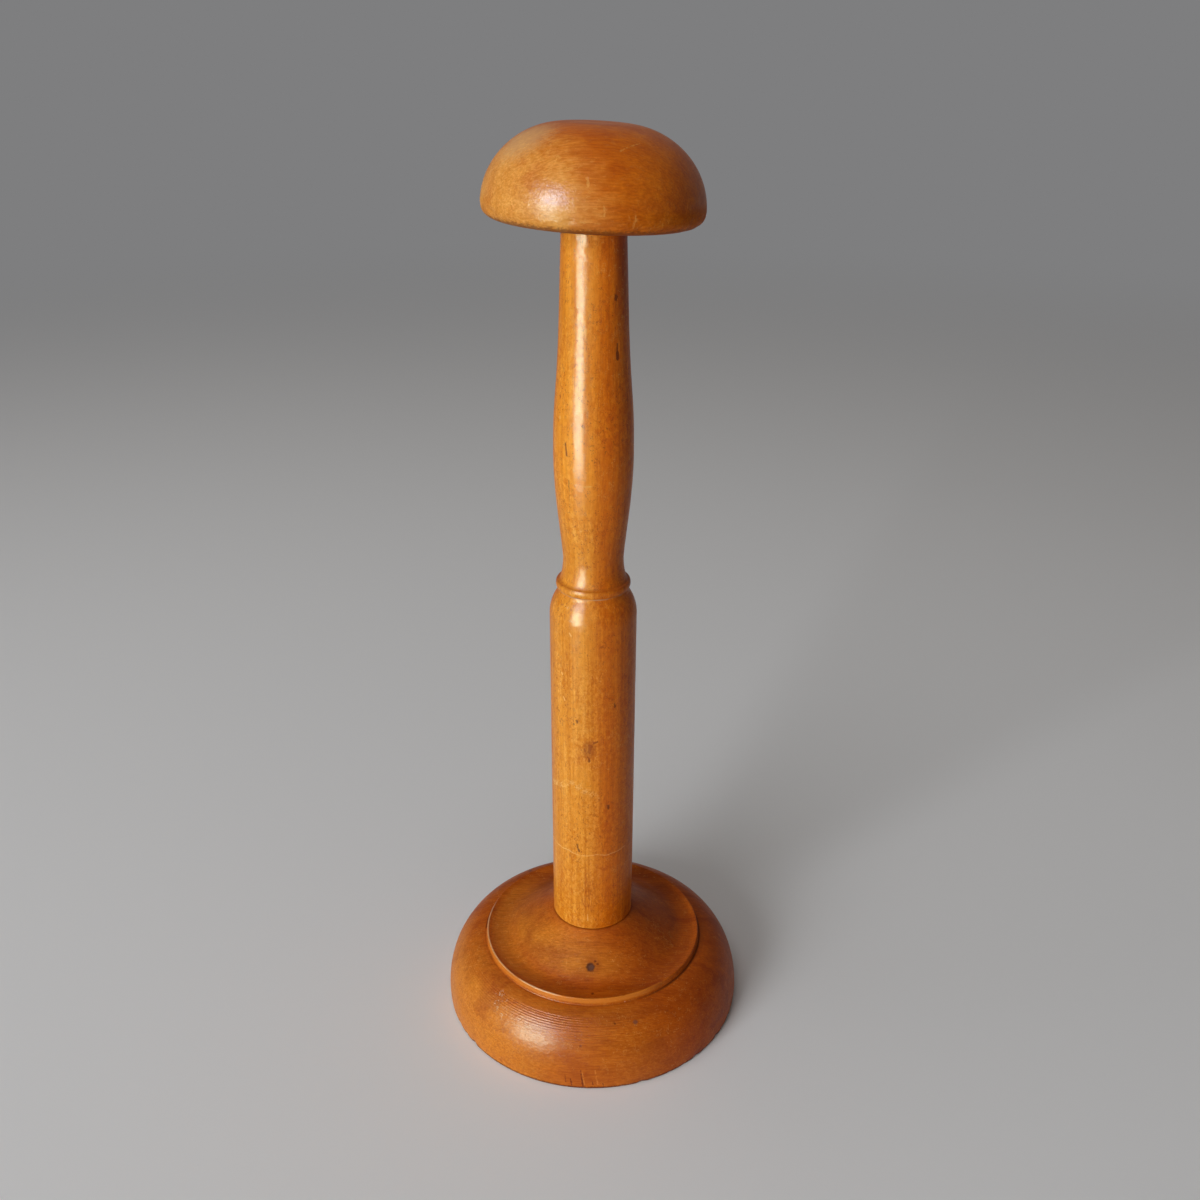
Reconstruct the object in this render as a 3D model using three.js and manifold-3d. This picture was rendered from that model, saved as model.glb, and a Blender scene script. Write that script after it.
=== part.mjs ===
// Turned wooden hat stand: a moulded round base, a turned column and a mushroom cap.
// Millimetres, +Z up. The origin is on the floor, at the centre of the base's underside.

import * as THREE from 'three';
import { mergeVertices } from 'three/addons/utils/BufferGeometryUtils.js';
import Module from 'manifold-3d';

const wasm = await Module();
wasm.setup();

// Driving dimensions

// Clearance round each tenon, under each shoulder and round the wedge, for glue.
const glueGap = 0.3;

// Base, from the floor up and from the rim inwards.
const baseRadius = 63.6;
const rimHeight = 3.6;          // floor to the widest part of the rim
const rimUndercut = 0.6;        // how far the rim draws in towards the floor
const rollHeight = 24.6;        // quarter-ellipse roll above the rim
const rollWidth = 16.8;
const stepHeight = 2.9;         // step from the top of the roll to the lip
const stepDraft = 0.45;
const lipArris = 0.4;           // rounded edge of the lip
const hollowWidth = 6.4;        // lip to the lowest ring of the hollow inside it
const hollowDepth = 1.0;
const moundSweep = 2.4;         // reach of the curve that joins the hollow to the mound
const moundRise = 11.8;         // hollow to the seat of the column
const seatMargin = 0.3;         // seat shown round the column's foot
const footRingWidth = 9;        // ring that the stand rests on
const recessDepth = 2;          // turned hollow inside that ring
const recessSlope = 1.5;

// Column, from the base's seat up.
const shaftRadius = 16.93;
const shaftArris = 0.4;
const shaftHeight = 141.2;
const shoulderHeight = 9.6;     // rounded shoulder above the shaft
const shoulderDrop = 3.1;
const shoulderSweep = 36;       // degrees of the ellipse that the shoulder takes
const grooveHeight = 1.9;       // V groove between the shoulder and the bead
const grooveDepth = 0.5;
const grooveBottom = 0.8;       // share of the groove's height where it is deepest
const beadHeight = 2.9;
const beadRadius = 14.35;
const beadSwell = 0.65;
const coveHeight = 9;           // cove from the bead up to the waist
const waistRadius = 11.57;
const swellHeight = 41;         // waist to the fullest part of the baluster
const swellFullness = 1.25;     // 1 swells like a sine, more keeps the waist slim for longer
const bellyRadius = 14.8;
const fallHeight = 75.7;        // belly to the start of the neck
const neckRadius = 11.4;
const neckHeight = 5.6;

// Cap, from its underside up. It sits a little crooked and off centre, as the old one does.
const capRadius = 38;
const capEdgeHeight = 4.5;      // rounded lower edge
const capEdgeWidth = 5.35;
const domeHeight = 26.4;
const crownRadius = 9;          // small flat at the top of the dome
const capLean = 2.6;            // degrees, towards +X
const capShift = -0.4;          // along X

// Joints: a wedged through tenon below, a blind tenon above.
const footTenonRadius = 11;
const capTenonRadius = 8;
const capTenonLength = 18;
const capTenonChamfer = 1;
const glueWell = 1.5;           // room past the end of the blind tenon
const wedgeMouth = 3.2;         // wedge thickness at the driven end
const wedgeTip = 1;
const wedgeLength = 20;

// Facets
const baseSides = 72;
const columnSides = 48;
const capSides = 64;
const mortiseSides = 40;

// Sizes that follow from those

const rollTopRadius = baseRadius - rollWidth;
const rollTopZ = rimHeight + rollHeight;
const lipRadius = rollTopRadius - stepDraft;
const lipZ = rollTopZ + stepHeight;
const hollowRadius = lipRadius - hollowWidth;
const hollowZ = lipZ - hollowDepth;
const seatRadius = shaftRadius + seatMargin;
const seatZ = hollowZ + moundRise;
const footRingRadius = baseRadius - rimUndercut;

const shaftFootZ = seatZ + glueGap;
const shoulderZ = shaftFootZ + shaftHeight;
const grooveZ = shoulderZ + shoulderHeight;
const grooveRadius = shaftRadius - shoulderDrop;
const beadZ = grooveZ + grooveHeight;
const beadRootRadius = beadRadius - beadSwell;
const coveZ = beadZ + beadHeight;
const waistZ = coveZ + coveHeight;
const bellyZ = waistZ + swellHeight;
const neckZ = bellyZ + fallHeight;
const capSeatZ = neckZ + neckHeight;

const lean = THREE.MathUtils.degToRad(capLean);
const capTenonTopZ = capSeatZ + capTenonLength;
const footMortiseRadius = footTenonRadius + glueGap;
const capMortiseRadius = capTenonRadius + glueGap;

// Outlines are points in the half plane of the lathe: radius, then height.

const point = (radius, height) => new THREE.Vector2(radius, height);

// Part of an ellipse from its centre and half widths. Angles in degrees, 0 outwards and 90 up.
function arc(centre, halfWidth, halfHeight, from, to, steps) {
  const start = THREE.MathUtils.degToRad(from);
  const end = THREE.MathUtils.degToRad(to);
  const curve = new THREE.EllipseCurve(centre.x, centre.y, halfWidth, halfHeight, start, end, to < from);
  return curve.getPoints(steps);
}

// Curve that leaves the first point towards the corner and reaches the last point from it.
function sweep(first, corner, last, steps) {
  return new THREE.QuadraticBezierCurve(first, corner, last).getPoints(steps);
}

// One outline from several stretches, without the points that they share.
const sameSpot = 1e-4;

function joinOutline(...stretches) {
  const points = [];
  for (const next of stretches.flat()) {
    const last = points.at(-1);
    if (!last || last.distanceTo(next) > sameSpot) points.push(next);
  }
  return points;
}

function turn(outline, sides) {
  return new THREE.LatheGeometry(outline, sides).rotateX(Math.PI / 2);
}

// Straight bar along Y from its section in X and Z.
function barAlongY(section, length) {
  const shape = new THREE.Shape(section);
  const bar = new THREE.ExtrudeGeometry(shape, { depth: length, bevelEnabled: false });
  return bar.translate(0, 0, -length / 2).rotateX(Math.PI / 2);
}

// Cutting and joining of closed meshes

function toSolid(geometry) {
  const bare = geometry.clone();
  bare.deleteAttribute('normal');
  bare.deleteAttribute('uv');
  const merged = mergeVertices(bare);
  const corners = merged.index.array;
  const triangles = [];
  for (let i = 0; i < corners.length; i += 3) {
    const [a, b, c] = corners.slice(i, i + 3);
    if (a !== b && b !== c && c !== a) triangles.push(a, b, c);
  }
  return new wasm.Manifold(new wasm.Mesh({
    numProp: 3,
    vertProperties: merged.attributes.position.array,
    triVerts: new Uint32Array(triangles),
  }));
}

function toGeometry(solid) {
  const { vertProperties, triVerts } = solid.getMesh();
  const geometry = new THREE.BufferGeometry();
  geometry.setAttribute('position', new THREE.BufferAttribute(vertProperties, 3));
  geometry.setIndex(new THREE.BufferAttribute(triVerts, 1));
  geometry.computeVertexNormals();
  return geometry;
}

// Base: one closed outline round the through mortise.
function baseGeometry() {
  const ringInner = footRingRadius - footRingWidth;
  const lipEdge = point(lipRadius - lipArris, lipZ - lipArris);
  const lipTop = point(lipRadius - lipArris, lipZ);
  const hollow = point(hollowRadius, hollowZ);
  const moundFoot = point(hollowRadius - moundSweep, hollowZ);
  const seat = point(seatRadius, seatZ);
  const along = moundSweep / (moundFoot.x - seat.x);
  const moundStart = moundFoot.clone().lerp(seat, along);

  const underside = [
    point(footMortiseRadius, recessDepth),
    point(ringInner - recessSlope, recessDepth),
    point(ringInner, 0),
    point(footRingRadius, 0),
  ];
  const rim = arc(point(footRingRadius, rimHeight), rimUndercut, rimHeight, -90, 0, 3);
  const roll = arc(point(rollTopRadius, rimHeight), rollWidth, rollHeight, 0, 90, 9);
  const lip = arc(lipEdge, lipArris, lipArris, 0, 90, 3);
  const hollowCurve = sweep(lipTop, point((lipTop.x + hollow.x) / 2, hollow.y), hollow, 4);
  const moundCurve = sweep(hollow, moundFoot, moundStart, 3);
  const bore = [seat, point(footMortiseRadius, seatZ), point(footMortiseRadius, recessDepth)];
  return turn(joinOutline(underside, rim, roll, lip, hollowCurve, moundCurve, bore), baseSides);
}

// How far the baluster has swelled, as a fraction, part of the way from the waist to the belly.
const swellShare = (along) => Math.sin(along * Math.PI / 2) ** swellFullness;

// Shape of the baluster above its belly: [share of its height, share of its fall to the neck].
const fallShares = [[0, 0], [0.11, 0.035], [0.22, 0.135], [0.42, 0.475], [0.6, 0.69], [0.85, 0.885], [1, 1]];

function balusterOutline() {
  const { lerp } = THREE.MathUtils;
  const swellSteps = 6;
  const rise = [];
  for (let i = 0; i <= swellSteps; i += 1) {
    const along = i / swellSteps;
    rise.push(point(lerp(waistRadius, bellyRadius, swellShare(along)), lerp(waistZ, bellyZ, along)));
  }
  const knots = fallShares.map(([up, fall]) => (
    point(lerp(bellyRadius, neckRadius, fall), lerp(bellyZ, neckZ, up))
  ));
  const fall = new THREE.SplineCurve(knots).getPoints(11);
  return [...rise, ...fall];
}

// Mouldings between the shaft and the waist.
function mouldingOutline() {
  const sweepAngle = THREE.MathUtils.degToRad(shoulderSweep);
  const shoulderWidth = shoulderDrop / (1 - Math.cos(sweepAngle));
  const shoulderReach = shoulderHeight / Math.sin(sweepAngle);
  const shoulderCentre = point(shaftRadius - shoulderWidth, shoulderZ);
  const shoulder = arc(shoulderCentre, shoulderWidth, shoulderReach, 0, shoulderSweep, 5);
  const groove = [point(grooveRadius - grooveDepth, grooveZ + grooveHeight * grooveBottom)];
  const bead = arc(point(beadRootRadius, beadZ + beadHeight / 2), beadSwell, beadHeight / 2, -90, 90, 5);
  const coveDepth = beadRootRadius - waistRadius;
  const cove = arc(point(beadRootRadius, waistZ), coveDepth, coveHeight, 270, 180, 5);
  return [...shoulder, ...groove, ...bead, ...cove];
}

// Tapered bar through the foot tenon, for the wedge and for its kerf. The kerf also runs out below.
function taperBar(mouth, tip, length, width, below) {
  const section = [
    point(-mouth / 2, -below),
    point(mouth / 2, -below),
    point(mouth / 2, 0),
    point(tip / 2, length),
    point(-tip / 2, length),
    point(-mouth / 2, 0),
  ];
  return barAlongY(joinOutline(section), width).translate(0, 0, recessDepth);
}

// Column with both tenons. The lower one has the saw kerf for the wedge across it, and the top of
// the neck is pared to the lean of the cap, so that the joint closes all round.
function columnGeometry(capPlacing) {
  const footTenon = [
    point(0, recessDepth),
    point(footTenonRadius, recessDepth),
    point(footTenonRadius, shaftFootZ),
  ];
  const shaftFoot = [
    point(shaftRadius - shaftArris, shaftFootZ),
    point(shaftRadius, shaftFootZ + shaftArris),
  ];
  const roughTopZ = capSeatZ + neckRadius;
  const neck = [point(neckRadius, roughTopZ), point(0, roughTopZ)];
  const outline = joinOutline(footTenon, shaftFoot, mouldingOutline(), balusterOutline(), neck);
  const kerf = taperBar(
    wedgeMouth + 2 * glueGap,
    wedgeTip + 2 * glueGap,
    wedgeLength + glueGap,
    3 * footTenonRadius,
    recessDepth,
  );
  const paring = turn([
    point(0, -glueGap),
    point(2 * neckRadius, -glueGap),
    point(2 * neckRadius, 2 * neckRadius),
    point(0, 2 * neckRadius),
  ], columnSides).applyMatrix4(capPlacing);
  const capTenon = turn([
    point(0, neckZ),
    point(capTenonRadius, neckZ),
    point(capTenonRadius, capTenonTopZ - capTenonChamfer),
    point(capTenonRadius - capTenonChamfer, capTenonTopZ),
    point(0, capTenonTopZ),
  ], columnSides);
  const body = toSolid(turn(outline, columnSides)).subtract(toSolid(kerf)).subtract(toSolid(paring));
  return toGeometry(body.add(toSolid(capTenon)));
}

// Wedge, its two edges pared round to the tenon.
function wedgeGeometry() {
  const blank = toSolid(taperBar(wedgeMouth, wedgeTip, wedgeLength, 3 * footTenonRadius, 0));
  const tenonTop = recessDepth + 2 * wedgeLength;
  const tenon = turn([
    point(0, 0),
    point(footTenonRadius, 0),
    point(footTenonRadius, tenonTop),
    point(0, tenonTop),
  ], columnSides);
  return toGeometry(blank.intersect(toSolid(tenon)));
}

// The cap is turned square to its own underside, and its mortise follows the upright column.
function capGeometry(capPlacing) {
  const outline = joinOutline(
    [point(0, 0)],
    arc(point(capRadius - capEdgeWidth, capEdgeHeight), capEdgeWidth, capEdgeHeight, -90, 0, 4),
    arc(point(crownRadius, capEdgeHeight), capRadius - crownRadius, domeHeight, 0, 90, 13),
    [point(0, capEdgeHeight + domeHeight)],
  );
  const mortise = turn([
    point(0, capSeatZ - capTenonLength),
    point(capMortiseRadius, capSeatZ - capTenonLength),
    point(capMortiseRadius, capTenonTopZ + glueWell),
    point(0, capTenonTopZ + glueWell),
  ], mortiseSides).applyMatrix4(capPlacing.clone().invert());
  return toGeometry(toSolid(turn(outline, capSides)).subtract(toSolid(mortise)));
}

// Assembly

function wood(name, geometry, colour, roughness) {
  const mesh = new THREE.Mesh(
    geometry,
    new THREE.MeshStandardMaterial({ color: colour, roughness, metalness: 0 }),
  );
  mesh.name = name;
  return mesh;
}

const capSeat = new THREE.Group();
capSeat.position.set(capShift, 0, capSeatZ);
capSeat.rotation.y = lean;
capSeat.updateMatrix();
capSeat.add(wood('cap', capGeometry(capSeat.matrix), 0xb06f3e, 0.42));

const stand = new THREE.Group();
stand.add(wood('base', baseGeometry(), 0x94522f, 0.38));
stand.add(wood('column', columnGeometry(capSeat.matrix), 0xb47a43, 0.42));
stand.add(wood('foot_wedge', wedgeGeometry(), 0xc39a63, 0.6));
stand.add(capSeat);

export default stand;
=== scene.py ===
"""Turned wooden hat stand: fine turned meshes and worn, polished wood over the CAD frame."""

import functools
import math

import bpy
import numpy as np
from mathutils import Matrix, Vector, noise


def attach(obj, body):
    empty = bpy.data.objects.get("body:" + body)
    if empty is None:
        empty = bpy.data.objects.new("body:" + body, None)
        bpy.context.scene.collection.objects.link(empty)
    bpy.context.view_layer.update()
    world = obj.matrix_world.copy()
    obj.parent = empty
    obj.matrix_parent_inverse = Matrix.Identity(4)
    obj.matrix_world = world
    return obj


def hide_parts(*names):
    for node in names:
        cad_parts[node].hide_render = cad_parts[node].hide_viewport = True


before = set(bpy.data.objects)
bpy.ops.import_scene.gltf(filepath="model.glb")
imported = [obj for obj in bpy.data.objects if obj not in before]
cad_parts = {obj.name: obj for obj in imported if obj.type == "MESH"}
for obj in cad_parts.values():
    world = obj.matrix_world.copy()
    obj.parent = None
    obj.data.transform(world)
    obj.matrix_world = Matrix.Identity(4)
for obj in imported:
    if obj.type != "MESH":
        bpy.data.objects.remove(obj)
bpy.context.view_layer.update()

# Sizes are in millimetres, as the turner would measure them, and meshes are made in metres.
MM = 0.001

# Base
BASE_RADIUS = 63.6
RIM_HEIGHT = 3.6
RIM_UNDERCUT = 0.6
ROLL_HEIGHT = 24.6
ROLL_WIDTH = 16.8
STEP_HEIGHT = 2.9
STEP_DRAFT = 0.45
LIP_ARRIS = 0.4
HOLLOW_WIDTH = 6.4
HOLLOW_DEPTH = 1.0
MOUND_SWEEP = 2.4
MOUND_RISE = 11.8
SEAT_MARGIN = 0.3
FOOT_RING_WIDTH = 9.0
RECESS_DEPTH = 2.0
RECESS_SLOPE = 1.5

# Fine rings that the tool left on the roll, from their outer to their inner radius
RING_OUTER = 58.6
RING_INNER = 53.2
RING_FADE = 1.2
RING_PITCH = 1.05
RING_DEPTH = 0.17

# Column
SHAFT_RADIUS = 16.93
SHAFT_ARRIS = 0.4
SHAFT_HEIGHT = 141.2
SHOULDER_HEIGHT = 9.6
SHOULDER_DROP = 3.1
SHOULDER_SWEEP = 36.0
GROOVE_HEIGHT = 1.9
GROOVE_DEPTH = 0.5
GROOVE_BOTTOM = 0.8
BEAD_HEIGHT = 2.9
BEAD_RADIUS = 14.35
BEAD_SWELL = 0.65
COVE_HEIGHT = 9.0
WAIST_RADIUS = 11.57
SWELL_HEIGHT = 41.0
SWELL_FULLNESS = 1.25
BELLY_RADIUS = 14.8
FALL_HEIGHT = 75.7
FALL_SHARES = ((0, 0), (0.11, 0.035), (0.22, 0.135), (0.42, 0.475), (0.6, 0.69), (0.85, 0.885), (1, 1))
NECK_RADIUS = 11.4
NECK_HEIGHT = 5.6

# Cap
CAP_RADIUS = 38.0
CAP_EDGE_HEIGHT = 4.5
CAP_EDGE_WIDTH = 5.35
DOME_HEIGHT = 26.4
CROWN_RADIUS = 9.0
CAP_LEAN = math.radians(2.6)
CAP_SHIFT = -0.4

# Joints
GLUE_GAP = 0.3
FOOT_TENON_RADIUS = 11.0
CAP_TENON_RADIUS = 8.0
CAP_TENON_LENGTH = 18.0
GLUE_WELL = 1.5
WEDGE_MOUTH = 3.2
WEDGE_TIP = 1.0
WEDGE_LENGTH = 20.0

# Heights and radii that follow
ROLL_TOP_RADIUS = BASE_RADIUS - ROLL_WIDTH
ROLL_TOP_Z = RIM_HEIGHT + ROLL_HEIGHT
LIP_RADIUS = ROLL_TOP_RADIUS - STEP_DRAFT
LIP_Z = ROLL_TOP_Z + STEP_HEIGHT
HOLLOW_RADIUS = LIP_RADIUS - HOLLOW_WIDTH
HOLLOW_Z = LIP_Z - HOLLOW_DEPTH
SEAT_Z = HOLLOW_Z + MOUND_RISE
SHAFT_FOOT_Z = SEAT_Z + GLUE_GAP
SHOULDER_Z = SHAFT_FOOT_Z + SHAFT_HEIGHT
GROOVE_Z = SHOULDER_Z + SHOULDER_HEIGHT
GROOVE_FLOOR_Z = GROOVE_Z + GROOVE_HEIGHT * GROOVE_BOTTOM
BEAD_Z = GROOVE_Z + GROOVE_HEIGHT
BEAD_ROOT_RADIUS = BEAD_RADIUS - BEAD_SWELL
WAIST_Z = BEAD_Z + BEAD_HEIGHT + COVE_HEIGHT
BELLY_Z = WAIST_Z + SWELL_HEIGHT
NECK_Z = BELLY_Z + FALL_HEIGHT
CAP_SEAT_Z = NECK_Z + NECK_HEIGHT
CAP_TENON_TOP_Z = CAP_SEAT_Z + CAP_TENON_LENGTH
CAP_PLACE = Matrix.Translation((CAP_SHIFT, 0, CAP_SEAT_Z)) @ Matrix.Rotation(CAP_LEAN, 4, "Y")

# Flat sides of each turning
BASE_SIDES = 320
COLUMN_SIDES = 160
CAP_SIDES = 256
MORTISE_SIDES = 64


# Outlines are lists of (radius, height). Each stretch ends with its step, long where it is hidden.

def shares(length, step, least=2):
    """Even shares from 0 to 1, one for each step of the length."""
    return np.linspace(0, 1, max(least, round(length / step)) + 1)


def straight(start, end, step):
    way = np.subtract(end, start)
    return [tuple(start + way * t) for t in shares(math.dist(start, end), step, 1)]


def path(start, *legs):
    """Straight stretches from start on, each given as its end and its step."""
    points = []
    for end, step in legs:
        points += straight(start, end, step)
        start = end
    return points


def ellipse(centre, half_width, half_height, first, last, step):
    """Part of an ellipse; angles in degrees, 0 outwards and 90 up."""
    length = math.radians(abs(last - first)) * max(half_width, half_height)
    angles = np.radians(first + (last - first) * shares(length, step))
    return list(zip(centre[0] + half_width * np.cos(angles), centre[1] + half_height * np.sin(angles)))


def bend(start, corner, end, step):
    """Quadratic curve that leaves start towards corner and comes to end from it."""
    t = shares(math.dist(start, corner) + math.dist(corner, end), step)
    weights = np.transpose([(1 - t) ** 2, 2 * t * (1 - t), t * t])
    return [tuple(point) for point in weights @ (start, corner, end)]


def through(knots, step):
    """Smooth curve through the knots."""
    knots = [np.array(k, float) for k in knots]
    points = [tuple(knots[0])]
    for i in range(len(knots) - 1):
        a, b = knots[max(i - 1, 0)], knots[i]
        c, d = knots[i + 1], knots[min(i + 2, len(knots) - 1)]
        v0, v1 = (c - a) / 2, (d - b) / 2
        for t in shares(math.dist(b, c), step)[1:]:
            cubic = (2 * b - 2 * c + v0 + v1) * t ** 3 + (-3 * b + 3 * c - 2 * v0 - v1) * t ** 2
            points.append(tuple(cubic + v0 * t + b))
    return points


def join_outline(*stretches):
    """One outline, with the points where stretches meet taken once."""
    points = []
    for stretch in stretches:
        for p in stretch:
            if not points or math.dist(points[-1], p) > 1e-4:
                points.append(p)
    return points


def roll_outline():
    """Quarter ellipse above the rim, in finer steps where the tool rings are."""
    ring_radii = (RING_OUTER + RING_FADE, RING_INNER - RING_FADE)
    first, last = [math.degrees(math.acos((r - ROLL_TOP_RADIUS) / ROLL_WIDTH)) for r in ring_radii]
    return join_outline(*[
        ellipse((ROLL_TOP_RADIUS, RIM_HEIGHT), ROLL_WIDTH, ROLL_HEIGHT, start, end, step)
        for start, end, step in ((0, first, 0.32), (first, last, 0.16), (last, 90, 0.32))
    ])


def base_outline():
    foot_radius = BASE_RADIUS - RIM_UNDERCUT
    ring_inner = foot_radius - FOOT_RING_WIDTH
    recess_edge = (ring_inner - RECESS_SLOPE, RECESS_DEPTH)
    bore = FOOT_TENON_RADIUS + GLUE_GAP
    hollow = (HOLLOW_RADIUS, HOLLOW_Z)
    mound_foot = (HOLLOW_RADIUS - MOUND_SWEEP, HOLLOW_Z)
    seat = (SHAFT_RADIUS + SEAT_MARGIN, SEAT_Z)
    share = MOUND_SWEEP / (mound_foot[0] - seat[0])
    mound_start = tuple(np.add(mound_foot, np.subtract(seat, mound_foot) * share))
    lip_top = (LIP_RADIUS - LIP_ARRIS, LIP_Z)
    return join_outline(
        path((bore, RECESS_DEPTH), (recess_edge, 2.5), ((ring_inner, 0), 0.8), ((foot_radius, 0), 1.5)),
        ellipse((foot_radius, RIM_HEIGHT), RIM_UNDERCUT, RIM_HEIGHT, -90, 0, 0.35),
        roll_outline(),
        straight((ROLL_TOP_RADIUS, ROLL_TOP_Z), (LIP_RADIUS, LIP_Z - LIP_ARRIS), 0.3),
        ellipse((LIP_RADIUS - LIP_ARRIS, LIP_Z - LIP_ARRIS), LIP_ARRIS, LIP_ARRIS, 0, 90, 0.12),
        bend(lip_top, ((lip_top[0] + hollow[0]) / 2, HOLLOW_Z), hollow, 0.4),
        bend(hollow, mound_foot, mound_start, 0.4),
        path(mound_start, (seat, 0.5), ((bore, SEAT_Z), 1.5), ((bore, RECESS_DEPTH), 8.0)),
    )[:-1]


def baluster_outline():
    rise = []
    for share in shares(SWELL_HEIGHT, SWELL_HEIGHT / 60):
        swell = math.sin(share * math.pi / 2) ** SWELL_FULLNESS
        rise.append((WAIST_RADIUS + (BELLY_RADIUS - WAIST_RADIUS) * swell, WAIST_Z + SWELL_HEIGHT * share))
    knots = [
        (BELLY_RADIUS + (NECK_RADIUS - BELLY_RADIUS) * fall, BELLY_Z + FALL_HEIGHT * up)
        for up, fall in FALL_SHARES
    ]
    return rise + through(knots, 0.8)


def column_outline():
    sweep = math.radians(SHOULDER_SWEEP)
    shoulder_width = SHOULDER_DROP / (1 - math.cos(sweep))
    shoulder_reach = SHOULDER_HEIGHT / math.sin(sweep)
    shoulder_centre = (SHAFT_RADIUS - shoulder_width, SHOULDER_Z)
    shoulder = ellipse(shoulder_centre, shoulder_width, shoulder_reach, 0, SHOULDER_SWEEP, 0.3)
    groove = (SHAFT_RADIUS - SHOULDER_DROP - GROOVE_DEPTH, GROOVE_FLOOR_Z)
    bead = ellipse((BEAD_ROOT_RADIUS, BEAD_Z + BEAD_HEIGHT / 2), BEAD_SWELL, BEAD_HEIGHT / 2, -90, 90, 0.15)
    cove = ellipse((BEAD_ROOT_RADIUS, WAIST_Z), BEAD_ROOT_RADIUS - WAIST_RADIUS, COVE_HEIGHT, 270, 180, 0.3)
    arris_centre = (SHAFT_RADIUS - SHAFT_ARRIS, SHAFT_FOOT_Z + SHAFT_ARRIS)
    neck_top = CAP_SEAT_Z - GLUE_GAP
    return join_outline(
        path(
            (0, RECESS_DEPTH),
            ((FOOT_TENON_RADIUS, RECESS_DEPTH), 2.0),
            ((FOOT_TENON_RADIUS, SHAFT_FOOT_Z), 4.0),
            ((arris_centre[0], SHAFT_FOOT_Z), 1.5),
        ),
        ellipse(arris_centre, SHAFT_ARRIS, SHAFT_ARRIS, -90, 0, 0.12),
        straight((SHAFT_RADIUS, arris_centre[1]), (SHAFT_RADIUS, SHOULDER_Z), 0.8),
        shoulder,
        path(shoulder[-1], (groove, 0.3), (bead[0], 0.3)),
        bead,
        cove,
        baluster_outline(),
        path(
            (NECK_RADIUS, NECK_Z),
            ((NECK_RADIUS, neck_top), 0.8),
            ((CAP_TENON_RADIUS, neck_top), 1.2),
            ((CAP_TENON_RADIUS, CAP_TENON_TOP_Z), 3.0),
            ((0, CAP_TENON_TOP_Z), 2.0),
        ),
    )


def cap_outline():
    """Outline of the cap in its own upright frame, from the middle of its flat underside."""
    rim = (CAP_RADIUS - CAP_EDGE_WIDTH, CAP_EDGE_HEIGHT)
    crown_z = CAP_EDGE_HEIGHT + DOME_HEIGHT
    return join_outline(
        straight((0, 0), (rim[0], 0), 1.5),
        ellipse(rim, CAP_EDGE_WIDTH, CAP_EDGE_HEIGHT, -90, 0, 0.3),
        ellipse((CROWN_RADIUS, CAP_EDGE_HEIGHT), CAP_RADIUS - CROWN_RADIUS, DOME_HEIGHT, 0, 90, 0.45),
        straight((CROWN_RADIUS, crown_z), (0, crown_z), 0.8),
    )


# Meshes

def turned_points(outline, sides):
    """Points of a turning in millimetres, ring by ring, and its faces. Ends on the axis become poles."""
    angles = np.arange(sides) * 2 * math.pi / sides
    points = []
    rings = []
    for radius, height in outline:
        if radius < 1e-6:
            rings.append([len(points)] * sides)
            points.append((0, 0, height))
        else:
            rings.append(list(range(len(points), len(points) + sides)))
            points.extend((radius * math.cos(a), radius * math.sin(a), height) for a in angles)
    if outline[0][0] > 1e-6:
        rings.append(rings[0])
    faces = []
    for low, high in zip(rings, rings[1:]):
        for i in range(sides):
            j = (i + 1) % sides
            corners = (low[i], low[j], high[j], high[i])
            faces.append(tuple(dict.fromkeys(corners)))
    return np.array(points), faces


def new_object(name, data):
    made = bpy.data.objects.new(name, data)
    bpy.context.scene.collection.objects.link(made)
    return made


def new_piece(name, points, faces):
    """Object with its mesh in metres, from points in millimetres."""
    mesh = bpy.data.meshes.new(name)
    mesh.from_pydata((np.asarray(points) * MM).tolist(), [], faces)
    mesh.validate()
    mesh.shade_smooth()
    return new_object(name, mesh)


def cut(piece, points, faces):
    """Takes the closed form away from the piece."""
    cutter = new_piece("cutter", points, faces)
    modifier = piece.modifiers.new("cut", "BOOLEAN")
    modifier.operation = "DIFFERENCE"
    modifier.solver = "EXACT"
    modifier.object = cutter
    shape = bpy.data.meshes.new_from_object(piece.evaluated_get(bpy.context.evaluated_depsgraph_get()))
    old = piece.data
    piece.modifiers.clear()
    piece.data = shape
    shape.name = piece.name
    bpy.data.meshes.remove(old)
    bpy.data.objects.remove(cutter)


def lumps(points, scale, seed):
    """Smooth noise from about -1 to 1 at each point; scale is in features per millimetre."""
    shift = Vector((seed * 17.3, seed * 5.1, seed * 11.7))
    return np.array([noise.noise(Vector(p) * scale + shift) for p in points])


def uneven(points, depth, scale, seed):
    """Depth that wanders between nothing and twice the depth given."""
    return depth * (1 + lumps(points, scale, seed))


def smooth_step(low, high, value):
    t = np.clip((value - low) / (high - low), 0, 1)
    return t * t * (3 - 2 * t)


def band(low, high, soft, value):
    """1 between low and high, falling to 0 over soft on both sides."""
    return smooth_step(low - soft, low, value) * (1 - smooth_step(high, high + soft, value))


def dents(points, places):
    """Depth of the dents, each given as its centre, its reach and its depth in the middle."""
    depth = 0
    for centre, reach, deep in places:
        distance = np.linalg.norm(points - np.array(centre), axis=1)
        depth = depth + deep * np.clip(1 - distance / reach, 0, 1)
    return depth


def measures(points):
    """Radius, direction in degrees and height of each point."""
    x, y, z = points.T
    return np.hypot(x, y), np.degrees(np.arctan2(y, x)), z.copy()


def push_in(points, depth):
    """Moves points towards the axis by depth."""
    radius = measures(points)[0]
    factor = np.where(radius > 1e-6, 1 - depth / np.maximum(radius, 1e-6), 1)
    points[:, 0] *= factor
    points[:, 1] *= factor


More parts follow.
